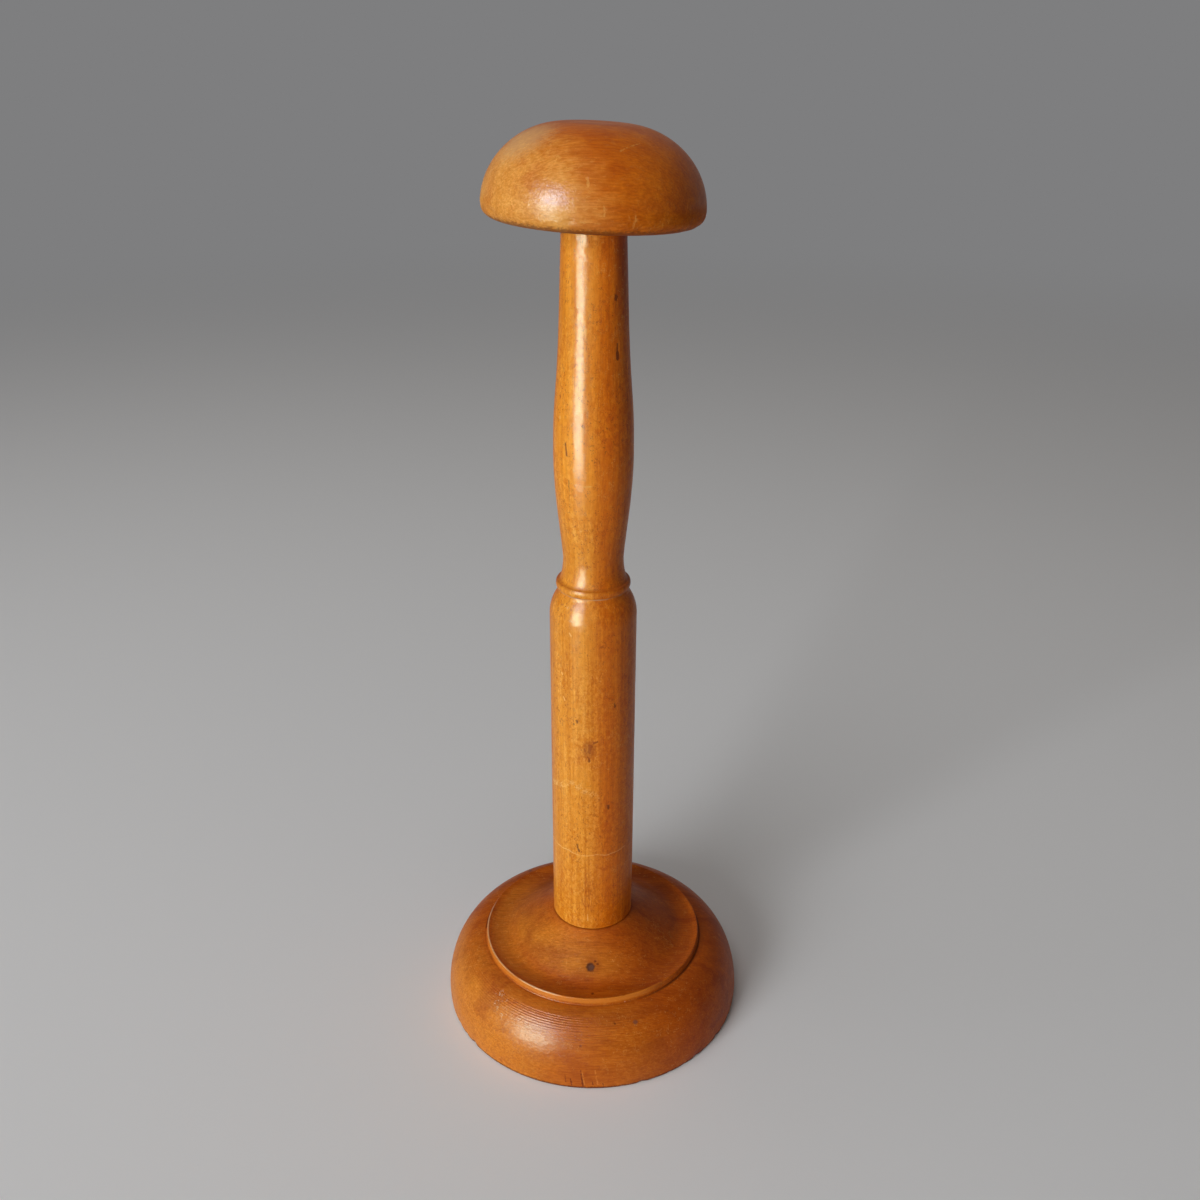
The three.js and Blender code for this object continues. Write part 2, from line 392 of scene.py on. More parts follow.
# Chips in the base's bottom edge, and dents in its lip and at the knot: centre, reach and depth
EDGE_CHIPS = (
    ((-49.6, -39.2, 0.4), 1.8, 0.7), ((-56.5, -28.5, 0.2), 2.0, 0.3),
    ((20.5, -59.8, 0.2), 2.2, 0.5), ((44.0, 45.0, 0.3), 2.8, 0.8),
)
LIP_DENTS = (
    ((13.4, -44.2, LIP_Z), 1.3, 0.35), ((29.5, -35.3, LIP_Z), 2.2, 0.3),
    ((-44.0, 12.0, LIP_Z), 1.8, 0.3), ((-0.7, -30.8, 34), 1.9, 0.12),
)

# Small cracks that run up from the bottom edge: direction in degrees, and height
EDGE_CRACKS = ((-96.5, 10), (-94.2, 6), (-92.8, 13), (-90.6, 8), (-88.6, 12), (-87.4, 7), (101, 9))
CRACK_DEPTH = 0.14
CRACK_HALF_WIDTH = 0.5
CRACK_TAPER = 4
KNOCK_DEPTH = 1.1


def tool_rings(points, radius, angle):
    """0 to about 1, uneven in pitch and strength and deepest at the front left."""
    outward = np.clip((radius - ROLL_TOP_RADIUS) / ROLL_WIDTH, 0, 1)
    along = np.arcsin(outward) * (ROLL_WIDTH + ROLL_HEIGHT) / 2
    turns = along * 2 * math.pi / RING_PITCH + 0.5 * lumps(points, 0.03, 4)
    turns += 1.2 * lumps(np.outer(along, (0.9, 0, 0)), 1.0, 5)
    strength = 0.35 + 0.65 * band(-138, -82, 18, angle)
    strength *= 0.75 + 0.5 * lumps(points, 0.06, 3)
    strength *= 0.8 + 0.7 * lumps(np.outer(along, (0.7, 0, 0)) + points * (0.03, 0.03, 0), 1.0, 6)
    return (0.5 + 0.5 * np.sin(turns)) * band(RING_INNER, RING_OUTER, RING_FADE, radius) * strength


def edge_knocks(points, radius, height):
    edge = band(0, 1.6, 1.6, height) * (radius > BASE_RADIUS - 2.5)
    return KNOCK_DEPTH * edge * np.clip(lumps(points * (1, 1, 0.3), 0.33, 7) - 0.28, 0, None)


def edge_cracks(height, angle):
    depth = np.zeros(len(height))
    for where, tall in EDGE_CRACKS:
        across = np.abs((angle - where) * math.radians(BASE_RADIUS))
        taper = 1 - smooth_step(tall - CRACK_TAPER, tall, height)
        depth += CRACK_DEPTH * np.clip(1 - across / CRACK_HALF_WIDTH, 0, 1) * taper
    return depth


def make_base():
    points, faces = turned_points(base_outline(), BASE_SIDES)
    radius, angle, height = measures(points)
    above_floor = smooth_step(0.4, 3.0, height)
    on_roll = (height < ROLL_TOP_Z + 0.01) * above_floor
    hand = uneven(points, 0.05, 0.035, 1) + uneven(points, 0.02, 0.18, 2)
    depth = RING_DEPTH * tool_rings(points, radius, angle) * on_roll
    depth += hand * above_floor * (radius > FOOT_TENON_RADIUS + 1)
    depth += edge_knocks(points, radius, height)
    depth += dents(points, EDGE_CHIPS)
    depth += edge_cracks(height, angle) * above_floor
    push_in(points, depth)
    points[:, 2] -= dents(points, LIP_DENTS)
    return new_piece("base_turning", points, faces)


# Dents in the column: centre, reach and depth
COLUMN_DENTS = (
    ((0.7, -16.9, 143.5), 1.8, 0.18), ((-1.6, -16.9, 131), 1.4, 0.14),
    ((6.4, -15.7, 103.5), 1.4, 0.15), ((-6.2, -15.8, 83.3), 1.3, 0.15),
    ((-10.1, -13.6, 162.8), 1.5, 0.12), ((8.3, -9.7, 287), 1.2, 0.12),
    ((12.0, 11.9, 120), 2.2, 0.2), ((-11, 9.5, 250), 2.0, 0.18),
)

# Scratch round the lower shaft
SCRATCH_Z = 80.4
SCRATCH_DEPTH = 0.07
SCRATCH_HALF_WIDTH = 0.5

# Length of the neck that follows the cap's leaning underside
NECK_PARING = 20


def shaft_scratch(points, height, angle):
    middle = SCRATCH_Z + 0.9 * lumps(points * (1, 1, 0), 0.12, 13)
    groove = np.clip(1 - np.abs(height - middle) / SCRATCH_HALF_WIDTH, 0, 1)
    return SCRATCH_DEPTH * groove * band(-170, -40, 6, angle)


def cut_kerf(column):
    """Saw kerf across the foot tenon, which the wedge fills."""
    mouth = WEDGE_MOUTH / 2 + GLUE_GAP
    tip = WEDGE_TIP / 2 + GLUE_GAP
    low = RECESS_DEPTH
    top = low + WEDGE_LENGTH + GLUE_GAP
    section = [(-mouth, 0), (mouth, 0), (mouth, low), (tip, top), (-tip, top), (-mouth, low)]
    reach = FOOT_TENON_RADIUS * 1.3
    corners = [(x, y, z) for y in (reach, -reach) for x, z in section]
    count = len(section)
    sides = [(i, i + count, (i + 1) % count + count, (i + 1) % count) for i in range(count)]
    ends = [tuple(range(count)), tuple(range(2 * count - 1, count - 1, -1))]
    cut(column, corners, [f[::-1] for f in sides + ends])


def make_column():
    points, faces = turned_points(column_outline(), COLUMN_SIDES)
    radius, angle, height = measures(points)
    lift = smooth_step(NECK_Z - NECK_PARING, CAP_SEAT_Z - GLUE_GAP, height) * (height < CAP_SEAT_Z)
    points[:, 2] -= lift * (points[:, 0] - CAP_SHIFT) * math.tan(CAP_LEAN)

    shown = (height > SHAFT_FOOT_Z) * (radius > CAP_TENON_RADIUS + 0.5)
    hand = uneven(points * (1, 1, 0.35), 0.03, 0.09, 11) + uneven(points, 0.012, 0.45, 12)
    depth = hand * shown
    depth += shaft_scratch(points, height, angle)
    depth += dents(points, COLUMN_DENTS) * shown
    push_in(points, depth)
    column = new_piece("column_turning", points, faces)
    cut_kerf(column)
    return column


def make_cap():
    points, faces = turned_points(cap_outline(), CAP_SIDES)
    radius, _, height = measures(points)
    hand = uneven(points, 0.09, 0.05, 21) + uneven(points, 0.03, 0.16, 22)
    depth = hand * smooth_step(0.2, 4.0, height)

    # Worn, chipped edge where the dome turns under.
    edge = band(0.6, 4.0, 1.4, height) * (radius > CAP_RADIUS - 7)
    depth += edge * np.clip(lumps(points * (1, 1, 0.6), 0.22, 23) - 0.22, 0, None)
    depth += edge * uneven(points, 0.12, 0.8, 24)
    push_in(points, depth)
    points[:, 2] -= uneven(points, 0.05, 0.07, 25) * smooth_step(12, 26, height)
    placed = np.array([CAP_PLACE @ Vector(p) for p in points])
    cap = new_piece("cap_turning", placed, faces)

    # Blind mortise for the column's upper tenon, upright in the leaning cap.
    bore = CAP_TENON_RADIUS + GLUE_GAP
    low = CAP_SEAT_Z - CAP_TENON_LENGTH
    high = CAP_TENON_TOP_Z + GLUE_WELL
    mortise = [(0, low), (bore, low), (bore, high), (0, high)]
    cut(cap, *turned_points(mortise, MORTISE_SIDES))
    return cap


# Materials

def srgb(red, green, blue):
    """Linear colour from the 0 to 255 values of a picture."""
    def linear(value):
        value /= 255
        return value / 12.92 if value <= 0.04045 else ((value + 0.055) / 1.055) ** 2.4
    return (linear(red), linear(green), linear(blue), 1)


class Nodes:
    """Adds nodes to the emptied tree of a material or a world."""

    def __init__(self, owner):
        owner.use_nodes = True
        self.tree = owner.node_tree
        self.tree.nodes.clear()

    def put(self, socket, value):
        if isinstance(value, bpy.types.NodeSocket):
            self.tree.links.new(value, socket)
        else:
            socket.default_value = value

    def add(self, kind, *values, operation=None, **named):
        """New node, with values or links for its first inputs and for named ones (_ stands for a space)."""
        node = self.tree.nodes.new("ShaderNode" + kind)
        if operation:
            node.operation = operation
        sockets = node.inputs[:len(values)] + [node.inputs[name.replace("_", " ")] for name in named]
        for socket, value in zip(sockets, (*values, *named.values())):
            self.put(socket, value)
        return node

    def math(self, operation, *values):
        return self.add("Math", *values, operation=operation).outputs[0]

    def fold(self, operation, values):
        return functools.reduce(functools.partial(self.math, operation), values)

    def times(self, *values):
        return self.fold("MULTIPLY", values)

    def plus(self, *values):
        return self.fold("ADD", values)

    def strongest(self, *values):
        return self.fold("MAXIMUM", values)

    def mix_shaders(self, share, first, second):
        """Goes from the first shader to the second as share goes from 0 to 1."""
        return self.add("MixShader", share, first.outputs[0], second.outputs[0])

    def seen_directly(self):
        """1 for rays from the camera, from a mirror or through glass."""
        rays = self.add("LightPath").outputs
        kinds = ("Is Camera Ray", "Is Glossy Ray", "Is Transmission Ray")
        return self.strongest(*[rays[kind] for kind in kinds])


class Paint(Nodes):
    """Nodes of a new material. Lengths in its methods are in millimetres."""

    def __init__(self, name):
        self.material = bpy.data.materials.new(name)
        super().__init__(self.material)
        self.place = self.vector("SCALE", self.add("TexCoord").outputs["Object"], Scale=1 / MM)
        self.x, self.y, self.z = self.add("SeparateXYZ", self.place).outputs
        self.radius = self.length(self.vector("MULTIPLY", self.place, (1, 1, 0)))
        self.angle = self.math("ARCTAN2", self.y, self.x)

    def vector(self, operation, *values, output="Vector", **named):
        return self.add("VectorMath", *values, operation=operation, **named).outputs[output]

    def length(self, vector):
        return self.vector("LENGTH", vector, output="Value")

    def dot(self, first, second):
        return self.vector("DOT_PRODUCT", first, second, output="Value")

    def add_up(self, first, *others):
        """The first value, and each other value times the weight that comes with it."""
        return self.plus(first, *[self.times(value, weight) for value, weight in others])

    def line(self, value, slope, offset):
        return self.math("MULTIPLY_ADD", value, slope, offset)

    def gap(self, first, second):
        return self.math("ABSOLUTE", self.math("SUBTRACT", first, second))

    def ramp(self, value, low, high, start=0.0, end=1.0):
        """Smooth change from start at low to end at high."""
        node = self.add("MapRange", value, low, high, start, end)
        node.interpolation_type = "SMOOTHSTEP"
        return node.outputs["Result"]

    def band(self, value, low, high, soft):
        rise = self.ramp(value, low - soft, low)
        fall = self.ramp(value, high, high + soft, 1, 0)
        return self.times(rise, fall)

    def stretched(self, factors, shift):
        """Place with each axis multiplied, so a small factor draws the pattern out along it."""
        return self.vector("ADD", self.vector("MULTIPLY", self.place, factors), shift)

    def noise(self, where, scale, detail=2.0, roughness=0.5, distortion=0.0):
        return self.add(
            "TexNoise", Vector=where, Scale=scale, Detail=detail, Roughness=roughness, Distortion=distortion
        ).outputs["Fac"]

    def pattern(self, factors, shift, *settings):
        """Noise, stretched and shifted."""
        return self.noise(self.stretched(factors, shift), *settings)

    def mix(self, amount, first, second, blend="MIX"):
        node = self.add("Mix")
        node.data_type = "RGBA"
        node.blend_type = blend
        node.clamp_factor = True
        for number, value in ((0, amount), (6, first), (7, second)):
            self.put(node.inputs[number], value)
        return node.outputs[2]

    def lay(self, colour, mask, strength, over):
        """Lays a colour over this one where the mask is 1."""
        return self.mix(self.times(mask, strength), colour, over)

    def tones(self, value, stops):
        """Three colours at places along value."""
        node = self.add("ValToRGB", value)
        node.color_ramp.interpolation = "EASE"
        node.color_ramp.elements.new(0.5)
        for element, (at, colour) in zip(node.color_ramp.elements, stops):
            element.position = at
            element.color = colour
        return node.outputs[0]

    def shade(self, colour, value, low, high, dark, light):
        """Multiplies the colour by dark where value is low and by light where it is high."""
        factor = self.mix(self.ramp(value, low, high), dark, light)
        return self.mix(1.0, colour, factor, "MULTIPLY")

    def rough_edge(self, amount):
        """Shifts an edge in and out by up to amount."""
        return self.line(self.noise(self.place, 1.0, 3.0, 0.6), 2 * amount, -amount)

    def spot(self, centre, size, soft, stretch=(1, 1, 1), ragged=0.0):
        """1 within size of centre, with a soft and, if asked, ragged edge."""
        offset = self.vector("SUBTRACT", self.place, centre)
        reach = self.length(self.vector("MULTIPLY", offset, stretch))
        if ragged:
            reach = self.plus(reach, self.rough_edge(ragged))
        return self.ramp(reach, size, size + soft, 1, 0)

    def stroke(self, first, last, width, ragged):
        """1 along a short straight mark between two places."""
        along = tuple(b - a for a, b in zip(first, last))
        square = sum(v * v for v in along)
        offset = self.vector("SUBTRACT", self.place, first)
        share = self.dot(offset, tuple(v / square for v in along))
        share = self.math("MAXIMUM", self.math("MINIMUM", share, 1.0), 0.0)
        nearest = self.vector("SCALE", along, Scale=share)
        reach = self.plus(self.length(self.vector("SUBTRACT", offset, nearest)), self.rough_edge(ragged))
        return self.ramp(reach, width / 2, width / 2 + 0.3, 1, 0)

    def strokes(self, marks, ragged):
        """1 along any of the marks, each given as its two ends and its width."""
        return self.strongest(*[self.stroke(*mark, ragged) for mark in marks])

    def towards(self, azimuth):
        """Distance from the axis towards a side."""
        angle = math.radians(azimuth)
        return self.dot(self.place, (math.cos(angle), math.sin(angle), 0))

    def facing(self, azimuth):
        """1 on the side at the azimuth, falling to -1 on the opposite side."""
        return self.math("DIVIDE", self.towards(azimuth), self.radius)

    def curls(self, grain, shift, scale, fineness):
        """Thin curled lines, broken into short pieces."""
        where = self.stretched(grain, shift)
        ridge = self.gap(self.noise(where, scale, 2.0, 0.5, 1.2), 0.5)
        line = self.ramp(ridge, fineness * 0.4, fineness, 1, 0)
        broken = self.ramp(self.noise(where, scale * 0.8, 1.0), 0.52, 0.6)
        return self.times(line, broken)

    def specks(self, grain, shift, scale, rarity):
        """Small separate dots."""
        return self.ramp(self.pattern(grain, shift, scale, 1.0, 0.4), rarity, rarity + 0.04)

    def finish(self, colour, roughness, height, coat, coat_roughness, specular=0.06):
        """Joins the shader. height is in millimetres."""
        relief = self.add("Bump", Strength=1.0, Distance=MM, Height=height).outputs[0]
        shader = self.add(
            "BsdfPrincipled", Base_Color=colour, Roughness=roughness, Specular_IOR_Level=specular,
            Normal=relief, Coat_Normal=relief, Coat_Weight=coat, Coat_Roughness=coat_roughness,
        )
        self.add("OutputMaterial", shader.outputs[0])
        return self.material


# Colour of the painted shade, with some dirt, in the base's corners and along its bottom edge
SHADE_AND_DIRT = srgb(74, 34, 12)
BROWN_MARK = srgb(154, 54, 3)
WORN = srgb(242, 182, 92)

# Factors that darken and lighten wood; the dark ones are also redder, as under old polish.
UNCHANGED = (1, 1, 1, 1)
DEEPER = (0.85, 0.66, 0.15, 1)
PALER = (1.08, 1.24, 2.1, 1)
DEEPER_FIBRE = (0.93, 0.88, 0.76, 1)
PALER_FIBRE = (1.04, 1.08, 1.16, 1)
COARSE_DEEPER = (0.86, 0.77, 0.55, 1)
COARSE_PALER = (1.08, 1.13, 1.3, 1)


def old_polish(p, colour, seed, grain, mottled, marked):
    """Mottling, curled marks, dark specks and pale worn flecks. Returns the colour and the relief."""
    mottle = p.pattern(grain, (seed, 2.3 * seed, -seed), 0.75, 4.0, 0.72, 0.6)
    changing = p.pattern(grain, (seed, -seed, 3 * seed), 0.05, 3.0, 0.6)
    mottling = p.ramp(changing, 0.42, 0.6, 0.4 * mottled, mottled)
    colour = p.mix(mottling, colour, p.shade(colour, mottle, 0.32, 0.68, DEEPER, PALER))
    patch = p.pattern(grain, (2 * seed, seed, seed), 0.07, 3.0, 0.55)
    dark_area = p.ramp(patch, 0.40, 0.58, 0.35, 1.0)
    pale_area = p.ramp(patch, 0.58, 0.38, 0.15, 1.0)
    dark_curls = p.curls(grain, (seed + 31, 5, 9), 0.75, 0.034)
    pale_curls = p.curls(grain, (seed + 57, 8, 3), 0.6, 0.024)
    dark_specks = p.specks(grain, (seed, 71, 4), 1.2, 0.69)
    pale_specks = p.specks(grain, (seed, 13, 88), 1.1, 0.73)
    dark = p.times(p.strongest(dark_curls, dark_specks), dark_area, 0.65 * marked)
    pale = p.strongest(p.times(pale_curls, 0.45), p.times(pale_specks, 0.4))
    pale = p.times(pale, pale_area, min(1, marked + 0.1))
    colour = p.mix(dark, colour, BROWN_MARK)
    colour = p.mix(pale, colour, WORN)
    peel = p.pattern(grain, (seed, 44, 6), 0.5, 2.0, 0.5)
    pits = p.pattern((1, 1, 1), (seed, 4, 61), 1.2, 3.0, 0.65)
    return colour, p.add_up(p.times(peel, 0.12), (pits, 0.08), (mottle, 0.02), (dark, -0.03), (pale, -0.02))


# Tones of each wood; for the column, tones for its shaded side and, as painted light, lighter tones for its
# lit side
BASE_TONES = ((0.34, srgb(170, 74, 5)), (0.54, srgb(190, 91, 10)), (0.74, srgb(206, 106, 18)))
CAP_TONES = ((0.34, srgb(198, 96, 5)), (0.54, srgb(208, 106, 9)), (0.74, srgb(216, 116, 14)))
WEDGE_TONES = ((0.3, srgb(168, 118, 66)), (0.5, srgb(196, 150, 92)), (0.7, srgb(212, 170, 112)))
COLUMN_SHADED_SIDE = ((0.34, srgb(206, 103, 6)), (0.52, srgb(214, 111, 9)), (0.70, srgb(222, 120, 14)))
COLUMN_LIT_SIDE = ((0.34, srgb(220, 137, 30)), (0.52, srgb(229, 149, 41)), (0.70, srgb(238, 163, 58)))

# Dark spots on the column: centre, size and a factor, where less than 1 draws the spot out upwards
COLUMN_SPOTS = (
    ((6.4, -15.7, 103.5), 0.35, 0.6), ((-6.2, -15.8, 84.2), 0.25, 0.35), ((-5.6, -16.0, 82.4), 0.2, 0.4),
    ((-1.3, -16.9, 126.3), 0.25, 0.8), ((-6.1, -15.8, 143.2), 0.15, 0.5), ((-7.5, -15.2, 141.9), 0.05, 0.8),
    ((8.6, -14.6, 150), 0.2, 0.4), ((7.7, -9.3, 305.4), 0.35, 0.5), ((-3.9, -14.2, 261.8), 0.2, 0.6),
    ((11.8, 12.1, 120), 0.8, 0.4), ((-12, 12, 90), 0.7, 0.4), ((4, 14.1, 240), 0.6, 0.5),
    ((16, 5.4, 66), 0.6, 0.5),
)

# Strokes on the column: the two ends and the width of each
SHAFT_STAIN = (
    ((2.0, -16.8, 135.0), (0.4, -16.9, 134.2), 0.4),
    ((-0.7, -16.9, 132.9), (-1.3, -16.9, 130.2), 1.2),
    ((-3.2, -16.6, 131.6), (-3.0, -16.6, 130.6), 0.5),
    ((-1.9, -16.8, 128.0), (-1.4, -16.8, 127.2), 0.4),
)
BALUSTER_BRUISES = (
    ((8.0, -9.5, 289.8), (8.3, -9.7, 287.0), 0.3),
    ((8.3, -9.7, 286.6), (8.4, -9.8, 284.8), 1.1),
    ((-10.0, -10.9, 254.6), (-9.5, -11.3, 250.2), 0.3),
    ((-8.9, -11.8, 241.0), (-8.7, -11.6, 232.0), 0.2),
    ((-9.0, -8.5, 286.0), (-9.3, -8.9, 275.5), 0.15),
)
PALE_TICKS = (
    ((-3.6, -14.3, 239.4), (-0.2, -14.8, 239.8), 0.1),
    ((-3.8, -12.6, 226.6), (1.8, -13.1, 226.8), 0.1),
    ((-8.9, -14.4, 181.2), (-8.3, -14.8, 180.2), 0.3),
    ((-12.0, -11.9, 163.0), (-11.8, -12.1, 162.4), 0.4),
    ((-11.4, -12.5, 152.6), (-11.0, -12.9, 151.4), 0.3),
    ((-12.1, -8.3, 263.6), (-12.1, -8.3, 263.0), 0.5),
    ((-2.0, -16.8, 49.8), (-1.9, -16.8, 46.6), 0.0),
)


def column_colour(p, fibre, polish):
    """Orange, with painted light: golden on the lit side and lighter from the waist up; and painted shade:
    dim at the neck's right, under the cap.
    """
    streak = p.pattern((1, 1, 0.03), (0, 0, 0), 0.3, 4.0, 0.6, 0.2)
    lines = p.pattern((1, 1, 0.015), (5, 5, 1), 0.85, 3.0, 0.65)
    # Painted light: golden tones on the side facing the light, deeper ones on the shaded side
    lit_side = p.ramp(p.facing(-128), 0.5, 1.0)
    colour = p.mix(lit_side, p.tones(streak, COLUMN_SHADED_SIDE), p.tones(streak, COLUMN_LIT_SIDE))
    colour = p.shade(colour, lines, 0.34, 0.62, (0.93, 0.86, 0.7, 1), (1.04, 1.06, 1.12, 1))
    colour = p.mix(p.ramp(polish, 0.54, 0.76, 0, 0.35), colour, srgb(190, 88, 6))
    # Painted light: lighter and yellower from the waist up to the belly and above
    colour = p.shade(colour, p.z, 205, 245, UNCHANGED, (1.10, 1.07, 0.9, 1))
    # Painted shade: darker on the neck's right, under the cap
    painted_neck_shade = p.times(p.ramp(p.z, 280, 322), p.ramp(p.facing(-10), 0.6, 0.95))
    colour = p.shade(colour, painted_neck_shade, 0, 1, UNCHANGED, (0.64, 0.56, 0.3, 1))
    return p.shade(colour, fibre, 0.3, 0.7, DEEPER_FIBRE, PALER_FIBRE)


def column_flecks(p, colour):
    """Short dark flecks along the grain, dense low at the front. Returns the colour and their mask."""
    fleck = p.pattern((1, 1, 0.25), (11, 2, 40), 1.5, 2.0, 0.5)
    flecked = p.pattern((1, 1, 0.4), (7, 70, 7), 0.08, 2.0)
    flecks = p.times(p.ramp(fleck, 0.62, 0.68), p.ramp(flecked, 0.46, 0.62, 0.1, 0.9))
    colour = p.lay(colour, flecks, 0.4, BROWN_MARK)
    low_front = p.spot((-2.2, -16.8, 61.5), 1.5, 3.0, (1, 1, 0.3), ragged=1.8)
    return p.mix(p.times(low_front, p.ramp(fleck, 0.42, 0.58, 0.1, 0.45)), colour, BROWN_MARK), flecks


def column_marks(p):
    """Masks of the dark marks in the polish and of the stain on the front of the shaft."""
    spots = [p.spot(at, size, 0.45, (1, 1, drawn), ragged=0.7) for at, size, drawn in COLUMN_SPOTS]
    dark = p.strongest(*spots, p.strokes(BALUSTER_BRUISES, 0.3))
    blotch = p.spot((-1.4, -16.9, 131.2), 1.5, 2.0, (1, 1, 0.6), ragged=1.3)
    return dark, p.strongest(p.strokes(SHAFT_STAIN, 0.9), p.times(blotch, 0.6))


def column_scratches(p):
    """Mask of the scratch round the lower shaft, the broken scuffs above it and the small ticks."""
    fades = p.ramp(p.angle, math.radians(-150), math.radians(-100), 1.0, 0.55)
    worn = p.ramp(p.pattern((1, 1, 1), (4, 4, 4), 0.5, 2.0), 0.34, 0.5, 0.35, 1)
    front = p.band(p.angle, math.radians(-172), math.radians(-40), 0.1)
    scratch_z = p.line(p.pattern((1, 1, 0), (0, 0, 0), 0.12, 3.0), 4.0, 78.4)
    scratch = p.times(p.ramp(p.gap(p.z, scratch_z), 0.12, 0.34, 1, 0), front, worn, fades)
    scuff_z = p.line(p.gap(p.angle, math.radians(-119)), -7.2, 114.1)
    scuff_front = p.band(p.angle, math.radians(-160), math.radians(-84), 0.1)
    crumbs = p.ramp(p.pattern((1, 1, 1.5), (9, 4, 1), 0.5, 4.0, 0.75, 0.8), 0.48, 0.55)
    scuffs = p.times(p.ramp(p.gap(p.z, scuff_z), 0.6, 2.2, 1, 0), scuff_front, crumbs, fades)
    return p.strongest(scratch, scuffs, p.strokes(PALE_TICKS, 0.15))


def column_shade_and_dust(p, colour):
    """Painted shade in the crease over the bead and at the foot, and dust in the groove. Returns the colour
    and the dust.
    """
    crease_shade = p.band(p.z, BEAD_Z + BEAD_HEIGHT - 0.1, BEAD_Z + BEAD_HEIGHT + 0.4, 0.9)
    patchy = p.ramp(p.pattern((1, 1, 1), (2, 2, 2), 0.35, 3.0), 0.38, 0.6, 0.15, 0.75)
    dust = p.times(p.band(p.z, GROOVE_FLOOR_Z - 0.2, GROOVE_FLOOR_Z + 0.05, 0.25), patchy)
    foot_shade = p.ramp(p.z, SHAFT_FOOT_Z, SHAFT_FOOT_Z + 0.5, 0.35, 0)
    # Painted shade over the bead, dust in the groove, and painted shade at the foot
    colour = p.lay(colour, crease_shade, 0.35, srgb(150, 70, 10))
    colour = p.mix(dust, colour, srgb(190, 150, 112))
    return p.mix(foot_shade, colour, srgb(120, 56, 12)), dust


def column_wood():
    p = Paint("column_wood")
    fibre = p.pattern((1, 1, 0.1), (3, 9, 2), 1.9, 3.0, 0.6)
    polish = p.pattern((1, 1, 0.5), (31, 4, 8), 0.11, 4.0, 0.6, 0.4)
    colour = column_colour(p, fibre, polish)
    colour, relief = old_polish(p, colour, seed=12, grain=(1, 1, 0.75), mottled=1.0, marked=1.0)
    colour, flecks = column_flecks(p, colour)
    dark, stain = column_marks(p)
    colour = p.lay(colour, dark, 0.8, srgb(100, 34, 5))
    colour = p.lay(colour, stain, 0.75, srgb(136, 50, 6))
    scratches = column_scratches(p)
    colour = p.lay(colour, scratches, 0.85, srgb(244, 188, 106))
    colour, dust = column_shade_and_dust(p, colour)

    dull = p.strongest(p.times(scratches, 0.5), dust, p.ramp(polish, 0.62, 0.78, 0, 0.5))
    roughness = p.add_up(p.ramp(polish, 0.3, 0.7, 0.40, 0.52), (dull, 0.25))
    turning = p.pattern((0.12, 0.12, 1), (6, 6, 6), 1.1, 2.0, 0.6)
    height = p.add_up(
        relief, (fibre, 0.02), (turning, 0.09), (flecks, -0.02),
        (scratches, -0.03), (dark, -0.05), (stain, -0.03),
    )
    return p.finish(colour, roughness, height, coat=p.ramp(dull, 0, 1, 0.32, 0.08), coat_roughness=0.07)


# Dark specks on the base: centre and size
BASE_SPECKS = (
    ((0.3, -42.3, 30.1), 0.35), ((9.2, -53.7, 25.6), 0.3), ((-4.4, -59.7, 19.2), 0.1),
    ((38, 30, 30.1), 0.6), ((-30, 42, 27.5), 0.7), ((-57, 12, 18), 0.5),
    ((2.4, -29.6, 34.7), 0.15), ((1.2, -28.6, 35.0), 0.1), ((22, -27, 35.3), 0.25),
)

# Short splits that run up from the bottom edge at the front, and their worn, paler sides
EDGE_SPLITS = (
    ((-4.3, -62.8, 9.2), (-3.8, -63.3, 5.0), 0.2),
    ((-3.8, -63.3, 5.0), (-3.3, -63.5, 1.4), 0.45),
    ((-8.4, -62.8, 4.8), (-7.9, -63.1, 1.5), 0.3),
    ((0.3, -63.3, 5.0), (0.7, -63.6, 2.4), 0.0),
    ((-10.6, -62.2, 7.0), (-10.3, -62.6, 3.2), 0.15),
    ((4.6, -63.0, 4.6), (4.9, -63.4, 1.6), 0.1),
)
SPLIT_SIDES = (
    ((-3.6, -62.9, 8.6), (-2.8, -63.5, 2.2), 0.25),
    ((1.5, -62.9, 9.4), (2.7, -63.5, 2.2), 0.3),
)


def base_lit_side(p, inside):
    """Mask of painted light: wood lighter and yellower on the lit side of the roll, its top, the mound and
    the hollow.
    """
    roll = p.times(p.ramp(p.towards(-146), 26, 60), p.ramp(p.radius, 50, 58), 0.8)
    top = p.times(p.ramp(p.towards(-122), 18, 44), p.ramp(p.radius, 45, 48), 0.4)
    mound = p.times(p.ramp(p.towards(-132), 6, 28), p.ramp(p.radius, 38, 30), 0.78)
    hollow = p.times(p.ramp(p.towards(-172), 10, 40), inside, 0.45)
    return p.strongest(roll, top, mound, hollow)


